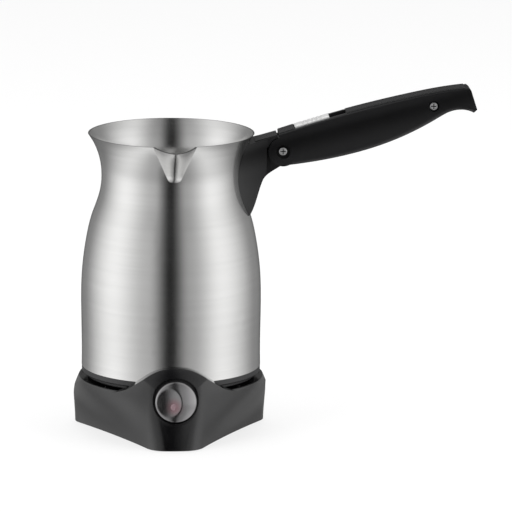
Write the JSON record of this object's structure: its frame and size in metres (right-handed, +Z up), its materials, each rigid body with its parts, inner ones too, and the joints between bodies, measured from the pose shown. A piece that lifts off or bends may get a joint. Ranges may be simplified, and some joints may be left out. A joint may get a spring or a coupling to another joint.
{
  "type": "electric turkish coffee maker",
  "caption": "Electric Turkish coffee maker: spun steel pot with a pouring spout and a long folding handle, standing on a three-lobed power base with a front knob.",
  "frame": {"origin": "on the pot's axis, at table level", "axes": "+Z up along the pot's axis, -Y towards the spout and the knob, +X towards the handle"},
  "size_m": [0.2232, 0.114, 0.1934],
  "materials": {
    "steel": "circumferentially brushed satin",
    "base_plastic": "satin charcoal",
    "collar_plastic": "satin, nearly black",
    "handle_plastic": "satin black",
    "trim_plastic": "semi-gloss black",
    "pale_plastic": "pale silver",
    "knob_chrome": "smoked chrome",
    "lens": "translucent pink-red",
    "rubber": "matt",
    "inner_plastic": "matt",
    "wire": "smooth insulation",
    "aluminium": "rolled",
    "element": "oxidised",
    "brass": "plain",
    "hardware": "zinc plated"
  },
  "bodies": {
    "base": {"base_shell": "base_plastic", "bottom_plate": "base_plastic", "foot_front": "rubber", "foot_left": "rubber", "foot_right": "rubber", "plate_screw_front": "hardware", "plate_screw_left": "hardware", "plate_screw_right": "hardware", "base_connector": "inner_plastic", "centre_contact": "brass", "ring_contact": "brass", "switch_body": "inner_plastic", "cord_inlet": "base_plastic", "terminal_block": "inner_plastic", "base_wires": "wire"},
    "knob": {"control_knob": "knob_chrome", "knob_shaft": "hardware", "pilot_lens": "lens"},
    "pot": {"pot_vessel": "steel", "heater_plate": "aluminium", "heating_element": "element", "thermal_cutout": "element", "collar_ring": "collar_plastic", "bottom_cover": "collar_plastic", "cover_screw_60": "hardware", "cover_screw_180": "hardware", "cover_screw_300": "hardware", "pot_socket": "inner_plastic", "socket_pin": "brass", "socket_ring": "brass", "bracket_plate": "hardware", "handle_bracket": "handle_plastic", "bracket_cap": "trim_plastic", "pivot_bush": "hardware"},
    "grip": {"grip_front": "handle_plastic", "grip_back": "handle_plastic", "rail_front": "trim_plastic", "rail_long": "trim_plastic", "pivot_screw": "hardware", "tip_screw": "hardware", "button_spring": "hardware"},
    "button": {"release_button": "pale_plastic"}
  },
  "joints": [
    {"name": "pot_lift", "type": "slide", "parent": "base", "child": "pot", "axis": [0, 0, 1], "range_m": [0, 0.08]},
    {"name": "knob_turn", "type": "hinge", "parent": "base", "child": "knob", "pos_m": [0, -0.057, 0.0286], "axis": [0, 1, 0], "range_deg": [0, 270]},
    {"name": "handle_fold", "type": "hinge", "parent": "pot", "child": "grip", "pos_m": [0.0616, 0, 0.1583], "axis": [0, 1, 0], "range_deg": [0, 95]},
    {"name": "button_slide", "type": "slide", "parent": "grip", "child": "button", "axis": [0.9577, 0, 0.2878], "range_m": [0, 0.004], "stiffness_N_per_m": 300, "springref_m": -0.003, "deforming": ["button_spring"]}
  ]
}
